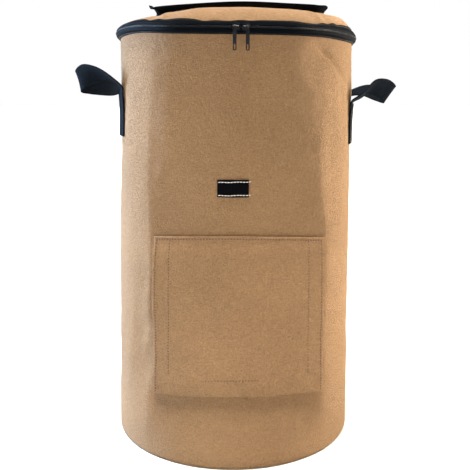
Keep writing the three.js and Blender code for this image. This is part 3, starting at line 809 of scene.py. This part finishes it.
def wall():
    outside = np.linspace(HEM_CORNER, WALL_TOP, 186)
    inside = np.linspace(WALL_TOP, 0, 44)
    corner = np.linspace(0, math.pi / 2, 7)[1:-1]
    foot = BASE_RADIUS - HEM_WIDTH
    outline = [[BASE_RADIUS - FELT, 0], [foot, 0]]
    outline += [[foot + HEM_WIDTH * math.sin(a), HEM_CORNER * (1 - math.cos(a))] for a in corner]
    outline += [[float(taper_radius(h)), h] for h in outside]
    outline += [[float(taper_radius(h)) - FELT, h] for h in inside[:-1]]
    piece = turned("felt_wall", outline, 336)
    dress(piece, felt, replaced=["wall"])


def base():
    radius = BASE_RADIUS - FELT - 2 * CLEARANCE
    across = np.linspace(0, radius, 24)
    outline = [[r, 0] for r in across] + [[r, FELT] for r in across[::-1]]
    piece = turned("felt_base", outline, 160, closed=False)
    dress(piece, felt, replaced=["base"])


def lid():
    """A felt dome. Its outer face goes on down inside the zip tape to the skirt's foot."""
    shares = 1 - np.linspace(0, 1, 78) ** 1.6
    foot = LID_EDGE - LID_SKIRT
    inner = (LID_RADIUS - FELT) / LID_RADIUS
    outline = [[LID_RADIUS * inner, foot], [LID_RADIUS, foot]]
    outline += [[LID_RADIUS, h] for h in np.linspace(foot, LID_EDGE, 6)[1:-1]]
    outline += [[LID_RADIUS * s, LID_EDGE + dome_rise(s)] for s in shares]
    within = shares[::-1][::3]
    outline += [[LID_RADIUS * inner * s, LID_EDGE + dome_rise(s) - FELT] for s in within]
    piece = turned("felt_lid", outline, 360, closed=False)
    dress(piece, felt, replaced=["lid"])


wall()
base()
lid()


# The zip

def tape_wave(height):
    def lift(angle, z):
        wave = table(TAPE_WAVE, np.degrees(angle))
        return height * wave * smooth(z - RIM_HEIGHT, COIL_RADIUS + CLEARANCE, height)

    return lift


def tape_profile(direction, felt_radius, height):
    """Middle line of a tape from its sewn edge to the coil, as rows of radius and height."""
    coil_edge = COIL_RADIUS + CLEARANCE
    out = RIM_RADIUS + TAPE_OUT - TAPE / 2
    sewn = felt_radius + CLEARANCE + TAPE / 2
    halfway = 0.55 * height + 0.45 * coil_edge
    rows = [(1.0, out - 1.3), (coil_edge, out), (halfway, (sewn + out) / 2)]
    rows += [(0.75 * height, sewn + 0.5), (height, sewn)]
    up = np.linspace(1.0, height, 34)
    return np.stack([table(rows, up), RIM_HEIGHT + direction * up], -1)[::-1]


def tape(name, direction, felt_radius, height, lift, replaced):
    middle = tape_profile(direction, felt_radius, height)
    ahead = unit(np.gradient(middle, axis=0))
    normal = np.stack([ahead[:, 1], -ahead[:, 0]], -1) * -direction
    gone = way_gone(middle)
    groove, crown = 0.28 * bell(gone - 2.2, 0.4), 0.16 * bell(gone - 6.2, 0.6)
    ribs = 0.05 * np.cos(TURN * gone / 0.95) - groove + crown
    rim = np.clip(np.minimum(gone, gone[-1] - gone) / (TAPE / 2), 0, 1)
    half = TAPE / 2 * edge_round(rim)
    outer = middle + normal * (half + ribs * rim)[:, None]
    back = middle - normal * half[:, None]
    outline = np.concatenate([outer, back[::-1][1:-1]])
    piece = turned(name, outline, 560, lift)
    dress(piece, zip_tape, replaced=[replaced])


def facing(angle):
    return np.stack([np.sin(angle), -np.cos(angle), 0 * angle], -1)


def ring_path(radius, height, steps, lift):
    """A line round the bag, and the way outwards at each of its points."""
    angle = np.linspace(-math.pi, math.pi, steps)
    raised = height + (lift(angle, np.full(steps, float(height))) if lift else 0)
    path = settled(angle, np.full(steps, float(radius)), raised)
    return path, facing(angle)


def coil():
    """The coil: a nylon wire wound round and round the rim."""
    turns = round(TURN * COIL_RING_RADIUS / COIL_PITCH)
    count = turns * COIL_STEPS
    share = np.linspace(-0.5, 0.5, count, endpoint=False)
    wound = TURN * turns * share
    reach = COIL_RADIUS - WIRE
    radius = COIL_RING_RADIUS + reach * np.cos(wound)
    line = settled(TURN * share, radius, RIM_HEIGHT + COIL_STRETCH * reach * np.sin(wound))
    ahead = unit(np.roll(line, -1, 0) - np.roll(line, 1, 0))
    outwards = line - settled(TURN * share, COIL_RING_RADIUS, RIM_HEIGHT)
    side = unit(np.cross(ahead, outwards))
    up = np.cross(side, ahead)
    turn = np.arange(WIRE_SIDES) / WIRE_SIDES * TURN
    ring = line[:, None] + WIRE * (
        side[:, None] * np.cos(turn)[None, :, None] + up[:, None] * np.sin(turn)[None, :, None]
    )
    faces = grid_faces(count, WIRE_SIDES, wrap_rows=True, wrap_columns=True)
    piece = mesh_object("zip_teeth", ring.reshape(-1, 3), faces)
    dress(piece, nylon, replaced=["zip_coil"])


upper_wave = tape_wave(UPPER_TAPE_HEIGHT)
tape("tape_lower", -1, RIM_RADIUS, LOWER_TAPE_HEIGHT, None, "zip_tape_lower")
tape("tape_upper", 1, LID_RADIUS, UPPER_TAPE_HEIGHT, upper_wave, "zip_tape_upper")
coil()


def zip_stitches():
    rows = []
    for direction, felt_radius, height, lift in (
        (-1, RIM_RADIUS, LOWER_TAPE_HEIGHT, None),
        (1, LID_RADIUS, UPPER_TAPE_HEIGHT, upper_wave),
    ):
        profile = tape_profile(direction, felt_radius, height)
        radius, z = profile[6]
        path, out = ring_path(radius + TAPE / 2 - 0.2, z, 900, lift)
        rows += stitch_lines(path, out, seed=3 + direction, **ZIP_STITCH)
    dress(tubes("zip_stitches", rows, FINE_THREAD, 5), black_thread)


zip_stitches()


# The front flap, its strips and the label

def wrapped(angle, x, y, standoff):
    return on_wall(angle + x / BASE_RADIUS, y, standoff)


def flap_place(x, y, z):
    """Where a point of the flat flap lies: y from its foot, z from its back."""
    middle = np.cos(math.pi * np.clip(x / FLAP_WIDTH, -0.5, 0.5))
    tilt = FLAP_TILT * (x / FLAP_WIDTH) * (y / FLAP_HEIGHT)
    height = FLAP_BOTTOM + y + FLAP_BOW * middle - tilt
    below = (FLAP_BOTTOM + FLAP_HEIGHT - height) / FLAP_HEIGHT
    over_strips = STRIP_THICKNESS + CLEARANCE
    lifted = over_strips * (1 - 0.5 * smooth(below, 0.88, 1) * (1 - smooth(x, 70, 115)))
    standoff = CLEARANCE + lifted * smooth(below, 0, 0.09)
    return wrapped(FLAP_ANGLE, x, height, standoff + z)


def flap_rows():
    """Lines of stitching on the flat flap, as pairs of ends (x, y)."""
    half = FLAP_WIDTH / 2
    top = FLAP_HEIGHT - TOP_ROW_DOWN
    rows = [((-half + TOP_ROW_INSET, top), (half - TOP_ROW_INSET, top))]
    for inset in (STITCH_INSET, INNER_SEAM):
        foot = 2 if inset == STITCH_INSET else STRIP_END_INSET + 3
        for side in (-1, 1):
            rows.append(((side * (half - inset), foot), (side * (half - inset), top)))
    rows.append(CROSS_ROW)
    return rows


def inner_row(x0, y0):
    """Whether a row starts low and inside the flap's edges: over a strip, or across."""
    return abs(x0) < FLAP_WIDTH / 2 - 10 and y0 < FLAP_HEIGHT / 2


def flap_relief(x, y):
    """The felt is drawn in along its stitching and puckers beside it. It has a soft upright fold low on
    the right, and its foot's corners curl outwards."""
    dip = 0
    for (x0, y0), (x1, y1) in flap_rows():
        if abs(x1 - x0) < 1:
            off, along = x - x0, y
            inside = smooth(y, y0 - 4, y0 + 1)
        else:
            off, along = y - y0, x
            inside = smooth(x, x0 - 5, x0) * smooth(-x, -x1 - 5, -x1)
        pucker = 0.18 * np.cos(TURN * along / 8.3 + 0.7 * np.sin(along / 17)) * bell(off, 5)
        hard = 0.55 if inner_row(x0, y0) else 1
        lip = 0.45 * bell(np.abs(off) - 2.2, 1.1)
        dip = dip + hard * (0.22 * bell(off, 1.0) + 0.25 * bell(off, 4.5) - lip + pucker) * inside
    fold = 0.48 * bell(x - 101 - 0.06 * (y - 60), 5) * bell(y - 62, 42)
    corner = 0.5 * bell(np.abs(x) - 118, 7) * bell(y, 8)
    return fold + corner - dip


def flap():
    size = (FLAP_WIDTH, FLAP_HEIGHT, FELT)
    piece = slab("flap_sheet", size, (210, 190), flap_place, 1.1, flap_relief)
    # The flap's felt carries painted light: it is a lighter copy of the wall's felt.
    dress(piece, flap_felt_painted_light, replaced=["front_flap"])
    rows = []
    for n, (start, end) in enumerate(flap_rows()):
        line = resampled([start, end], 90)
        x, y = line[:, 0], line[:, 1]
        surface = flap_place(x, y, FELT - 0.4)
        angle = FLAP_ANGLE + x / BASE_RADIUS
        rows += stitch_lines(surface, facing(angle), seed=20 + n, **FLAP_STITCH)
    # The flap's stitches are darkened with painted shade for the stitch holes.
    stitches = dress(tubes("flap_stitches", rows, FLAP_THREAD, 6, FLAP_THREAD_FLATNESS), felt_thread_and_painted_shade)


def strip(side, word):
    height = FLAP_HEIGHT - 2 * STRIP_END_INSET
    middle = side * (FLAP_WIDTH / 2 - STRIP_INSET - STRIP_WIDTH / 2)
    angle = FLAP_ANGLE + middle / BASE_RADIUS

    def place(x, y, z):
        return wrapped(angle, x, FLAP_BOTTOM + STRIP_END_INSET + y, CLEARANCE + z)

    def nap(x, y):
        return 0.12 * np.sin(x * 2.9) * np.sin(y * 2.6)

    size = (STRIP_WIDTH, height, STRIP_THICKNESS)
    piece = slab(f"strip_{word}", size, (26, 140), place, 0.6, nap)
    dress(piece, loop_tape, replaced=[f"flap_strip_{word}"])


def label():
    """A plain woven patch, sewn on along its top and foot with pale thread."""
    half = LABEL_WIDTH / 2

    def place(x, y, z):
        return wrapped(LABEL_ANGLE, x, LABEL_CENTRE - LABEL_HEIGHT / 2 + y, CLEARANCE * 0.6 + z)

    def relief(x, y):
        drawn = sum(bell(y - at, 1.1) for at in LABEL_SEAMS)
        pucker = 0.12 * np.cos(x / 3.1) * bell(y - LABEL_SEAMS[1], 3)
        swell = 0.5 * np.sin(math.pi * y / LABEL_HEIGHT) + pucker
        return 0.5 * swell - 0.28 * drawn + 0.03 * np.cos(TURN * y / 0.9)

    size = (LABEL_WIDTH, LABEL_HEIGHT, LABEL_THICKNESS)
    piece = slab("label_patch", size, (60, 46), place, 0.5, relief)
    dress(piece, label_weave, replaced=["label"])
    rows = []
    for n, y in enumerate(LABEL_SEAMS):
        line = resampled([(-half + 1.0, y - 0.35), (half + 3.6, y + 0.45)], 40)
        x, y = line[:, 0], line[:, 1] + 0.25 * np.sin(line[:, 0] / 4)
        angle = LABEL_ANGLE + x / BASE_RADIUS
        over = np.where(x > half - 0.5, 0.2, LABEL_THICKNESS)
        rows += stitch_lines(place(x, y, over), facing(angle), seed=40 + n, **LABEL_STITCH)
    dress(tubes("label_stitches", rows, LABEL_THREAD, 6), pale_thread)


flap()
strip(-1, "left")
strip(1, "right")
label()


# The webbing handles

def loop_across(turn, lean, across, up, out):
    turn, lean = math.radians(turn), math.radians(lean)
    standing = up * math.cos(lean) + out * math.sin(lean)
    return across * math.cos(turn) - standing * math.sin(turn)


def side_stations(handle, loop):
    side, middle, foot, top = handle["side"], handle["middle"], handle["foot"], handle["top"]
    across = np.array([math.cos(middle), math.sin(middle), 0]) * side
    up = np.array([0, 0, 1.0])
    out = np.array([math.sin(middle), -math.cos(middle), 0])
    half = SIDE_LEG_SPACING / 2

    def leg(front, share):
        angle = middle - side * front * half / float(taper_radius(top))
        height = foot + (top - foot) * share
        along = np.array([math.cos(angle), math.sin(angle), 0]) * side * front
        standoff = CLEARANCE + WEBBING / 2 + 4 * CLEARANCE * float(smooth(share, 0.6, 1))
        return on_wall(np.array(angle), np.array(float(height)), standoff), along, 0

    side_wall = on_wall(np.array(middle), np.array(float(top)), 0)
    free = [
        (
            side_wall + across * a * half + up * u * WEBBING_WIDTH + out * o * WEBBING_WIDTH,
            loop_across(turn, lean, across, up, out),
            0,
        )
        for a, u, o, turn, lean in loop
    ]
    shares = (0, 0.5, 0.88, 1)
    return [leg(1, s) for s in shares] + free + [leg(-1, s) for s in shares[::-1]]


def lid_stations():
    across, ahead, out = np.eye(3)[0], -np.eye(3)[1], np.eye(3)[2]
    half = LID_LEG_SPACING / 2
    rest = 2 * CLEARANCE + WEBBING / 2

    def point(x, y, standoff):
        return on_lid(np.array(float(x)), np.array(float(y)), standoff)

    def sewn(side, share):
        y = LID_LEG_FROM + (LID_LEG_TO - LID_LEG_FROM) * share
        x = LID_HANDLE_SHIFT + side * half
        slope = point(x + 1, y, rest) - point(x - 1, y, rest)
        standoff = rest + 3 * CLEARANCE * float(smooth(share, 0.5, 1))
        return point(x, y, standoff), -side * slope / np.linalg.norm(slope), 0

    free = [
        (
            point(LID_HANDLE_SHIFT + a * half, LID_LEG_TO - u * WEBBING_WIDTH, o * WEBBING_WIDTH),
            loop_across(turn, lean, across, ahead, out),
            slant,
        )
        for a, u, o, turn, lean, slant in LID_LOOP
    ]
    shares = (0, 0.35, 0.7, 1)
    return [sewn(-1, s) for s in shares] + free + [sewn(1, s) for s in shares[::-1]]


def sewn_box(stations, low, high, first_seed):
    """Stitching that holds a leg: a box with a cross, between two shares of the strap's length."""
    edge = WEBBING_WIDTH / 2 - 3
    corners = {"a": (-edge, low), "b": (edge, low), "c": (edge, high), "d": (-edge, high)}
    rows = []
    for n, (p, q) in enumerate(("ab", "bc", "cd", "da", "ac", "bd")):
        ends = np.array([corners[p], corners[q]])
        spots, outs = [], []
        for x, along in resampled(ends, 26):
            middle, across, face = strap_frame(stations, along)
            spots.append(middle + across * x + face * (WEBBING / 2 - 0.06))
            outs.append(face)
        rows += stitch_lines(spots, np.array(outs), seed=first_seed + n, **STRAP_STITCH)
    return rows


def handle(word, stations, replaced):
    dress(strap(f"strap_{word}", stations), webbing, replaced=[replaced])
    last = len(stations) - 1
    ends = [(0.12 / last, 1.75 / last), (1 - 1.75 / last, 1 - 0.12 / last)]
    rows = []
    for n, (low, high) in enumerate(ends):
        rows += sewn_box(stations, low, high, 60 + 10 * n)
    dress(tubes(f"strap_stitches_{word}", rows, FINE_THREAD, 5), black_thread)


handle("left", side_stations(LEFT_HANDLE, LEFT_LOOP), "handle_left")
handle("right", side_stations(RIGHT_HANDLE, RIGHT_LOOP), "handle_right")
handle("lid", lid_stations(), "lid_handle")


# The zip's sliders and pulls keep their frame solids, with softened edges

for name in ("slider_left", "slider_right", "pull_left", "pull_right"):
    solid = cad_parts[name]
    solid.data.materials.clear()
    solid.data.materials.append(metal)
    rounded = solid.modifiers.new("soft_edges", "BEVEL")
    rounded.width = BEVEL
    rounded.segments = BEVEL_STEPS
    rounded.limit_method = "ANGLE"
    rounded.angle_limit = math.radians(BEVEL_FROM)
    rounded.harden_normals = True


# Floor, light and camera

def floor():
    mesh = bpy.data.meshes.new("floor")
    corners = [(x * FLOOR_HALF, y * FLOOR_HALF, 0) for x, y in ((-1, -1), (1, -1), (1, 1), (-1, 1))]
    mesh.from_pydata(corners, [], [(0, 1, 2, 3)])
    piece = bpy.data.objects.new("floor", mesh)
    piece.location.z = -FLOOR_DROP
    bpy.context.scene.collection.objects.link(piece)
    mesh.materials.append(floor_material("pale_floor"))


def area_light(name, place, aim, size, power, colour):
    light = bpy.data.lights.new(name, "AREA")
    light.shape = "RECTANGLE"
    light.size, light.size_y = size
    light.energy = power
    light.color = colour
    lamp = bpy.data.objects.new(name, light)
    lamp.location = place
    lamp.rotation_euler = (Vector(aim) - Vector(place)).to_track_quat("-Z", "Y").to_euler()
    bpy.context.scene.collection.objects.link(lamp)


def sun_light(name, direction, strength, softness, colour):
    light = bpy.data.lights.new(name, "SUN")
    light.energy = strength
    light.angle = math.radians(softness)
    light.color = colour
    lamp = bpy.data.objects.new(name, light)
    lamp.rotation_euler = Vector(direction).to_track_quat("-Z", "Y").to_euler()
    bpy.context.scene.collection.objects.link(lamp)


def surroundings():
    """A white backdrop to the camera that lights the bag only faintly."""
    world = bpy.data.worlds.new("studio")
    bpy.context.scene.world = world
    world.use_nodes = True
    nodes, links = world.node_tree.nodes, world.node_tree.links
    back = nodes["Background"]
    seen = nodes.new("ShaderNodeLightPath")
    level = nodes.new("ShaderNodeMapRange")
    level.inputs["To Min"].default_value = BACKDROP_ON_THINGS
    level.inputs["To Max"].default_value = 1.0
    links.new(seen.outputs["Is Camera Ray"], level.inputs["Value"])
    links.new(level.outputs["Result"], back.inputs["Strength"])
    back.inputs["Color"].default_value = (1, 1, 1, 1)


def camera():
    data = bpy.data.cameras.new("camera")
    data.sensor_width = SENSOR
    data.lens = FOCAL_LENGTH / PHOTO_WIDTH * SENSOR
    data.shift_y = CAMERA_SHIFT / PHOTO_WIDTH
    data.clip_start, data.clip_end = 0.05, 100
    eye = bpy.data.objects.new("camera", data)
    eye.location = EYE
    eye.rotation_euler = (math.radians(90 - LOOKING_DOWN), 0, 0)
    bpy.context.scene.collection.objects.link(eye)
    bpy.context.scene.camera = eye


floor()
surroundings()
camera()
sun_light("overhead", *SUN)
for lamp in LAMPS:
    area_light(*lamp)
bpy.context.scene.view_settings.view_transform = "Standard"
